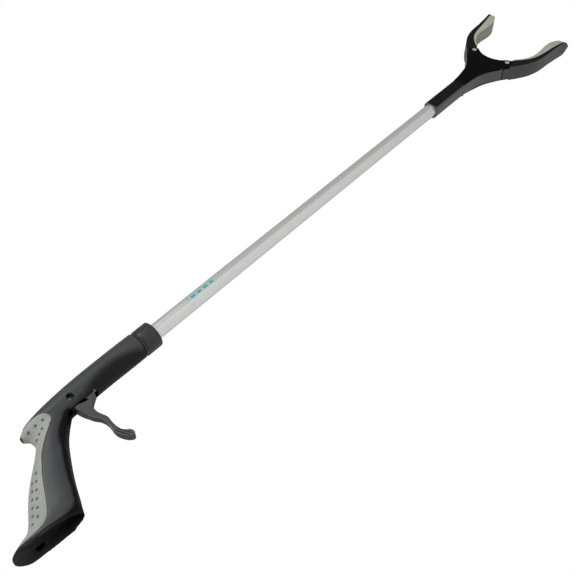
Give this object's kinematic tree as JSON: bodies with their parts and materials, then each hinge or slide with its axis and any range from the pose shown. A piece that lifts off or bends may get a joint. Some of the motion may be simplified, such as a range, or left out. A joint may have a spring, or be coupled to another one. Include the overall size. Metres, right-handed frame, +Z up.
{
  "type": "reacher grabber",
  "caption": "Trigger-operated reaching aid with a pistol grip and soft inlay, a slim tube, a head that turns, and padded jaws that close together.",
  "frame": {"origin": "on the tube's axis, at the front face of the rotating collar", "axes": "+X along the tube towards the jaws, +Z up with the grip hanging down, +Y to the left of the user"},
  "size_m": [0.822, 0.0264, 0.1347],
  "materials": {
    "handle_black": "satin moulded, fine spark-eroded grain",
    "inlay_grey": "soft matte overmould with dimples",
    "cap_black": "matte moulded",
    "trigger_black": "satin moulded",
    "collar_black": "satin moulded",
    "satin_aluminium": "satin clear anodised",
    "head_black": "satin moulded",
    "cheek_black": "fine matte",
    "jaw_black": "satin moulded",
    "pad_grey": "soft matte with fine cross texture",
    "bright_pin": "polished",
    "steel": "zinc plated",
    "nylon": "natural moulded"
  },
  "bodies": {
    "handle": {"handle_shell_near": "handle_black", "handle_shell_far": "handle_black", "grip_inlay": "inlay_grey", "butt_cap": "cap_black", "butt_cap_screw": "steel", "handle_screws": "steel", "trigger_pin": "steel", "detent_ball": "steel", "detent_spring": "steel"},
    "trigger": {"trigger": "trigger_black"},
    "shuttle": {"pull_shuttle": "nylon", "shuttle_pin": "steel"},
    "shaft": {"swivel_hub": "nylon", "hub_pins": "steel", "rotation_collar": "collar_black", "tube": "satin_aluminium", "rod_guides": "nylon", "head_sleeve": "head_black", "sleeve_rivets": "steel", "yoke_frame": "head_black", "yoke_plate_near": "cheek_black", "yoke_plate_far": "cheek_black", "yoke_screws": "steel", "jaw_pin_upper": "bright_pin", "jaw_pin_lower": "bright_pin", "jaw_return_spring": "steel"},
    "rod": {"pull_rod": "steel", "rod_button": "steel", "crosshead": "nylon", "rod_cross_pin": "steel", "spring_washer": "steel"},
    "jaw_upper": {"jaw_arm_upper": "jaw_black", "jaw_pad_upper": "pad_grey", "drive_pin_upper": "steel"},
    "jaw_lower": {"jaw_arm_lower": "jaw_black", "jaw_pad_lower": "pad_grey", "drive_pin_lower": "steel"}
  },
  "joints": [
    {"name": "trigger_pull", "type": "hinge", "parent": "handle", "child": "trigger", "pos_m": [-0.076, 0, 0.005], "axis": [0, 1, 0], "range_deg": [0, 32.11], "stiffness_Nm_per_rad": 0.178, "springref_deg": -18.62},
    {"name": "head_turn", "type": "hinge", "parent": "handle", "child": "shaft", "pos_m": [0, 0, 0], "axis": [1, 0, 0], "range_deg": [0, 90]},
    {"name": "shuttle_slide", "type": "slide", "parent": "handle", "child": "shuttle", "axis": [1, 0, 0], "range_m": [-0.0052, 0]},
    {"name": "rod_slide", "type": "slide", "parent": "shaft", "child": "rod", "axis": [1, 0, 0], "range_m": [-0.0052, 0], "deforming": ["jaw_return_spring"]},
    {"name": "upper_jaw_close", "type": "hinge", "parent": "shaft", "child": "jaw_upper", "pos_m": [0.5344, 0, 0.0216], "axis": [0, 1, 0], "range_deg": [0, 28.68]},
    {"name": "lower_jaw_close", "type": "hinge", "parent": "shaft", "child": "jaw_lower", "pos_m": [0.5344, 0, -0.0216], "axis": [0, 1, 0], "range_deg": [-28.68, 0]}
  ],
  "couplings": [
    {"joint": "shuttle_slide", "follows": "trigger_pull", "m_per_rad": -0.0092438},
    {"joint": "rod_slide", "follows": "trigger_pull", "m_per_rad": -0.0092438},
    {"joint": "upper_jaw_close", "follows": "trigger_pull", "ratio": 0.89171},
    {"joint": "lower_jaw_close", "follows": "trigger_pull", "ratio": -0.89171}
  ]
}
